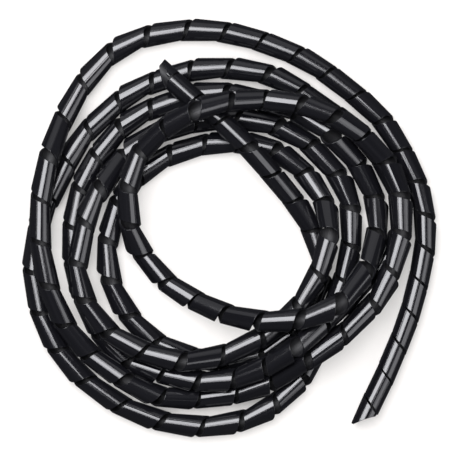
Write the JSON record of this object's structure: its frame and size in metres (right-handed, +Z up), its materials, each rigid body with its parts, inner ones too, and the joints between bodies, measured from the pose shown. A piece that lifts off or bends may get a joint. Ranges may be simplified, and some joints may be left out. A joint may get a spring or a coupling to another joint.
{
  "type": "spiral cable wrap",
  "caption": "Black plastic spiral wrap for bundling cables, a tube slit into one helical strip, lying in a loose coil.",
  "frame": {"origin": "on the floor, under the middle of the coil", "axes": "+Z up out of the floor that the coil lies on; +X to the right and +Y to the top of the coil as the picture shows it from above, with the free end towards -Y"},
  "size_m": [0.1921, 0.194, 0.0336],
  "materials": {
    "black_plastic": "glossy black polyethylene, extruded, with faint lines along the tube"
  },
  "bodies": {
    "root": {"spiral_wrap": "black_plastic"}
  },
  "joints": []
}
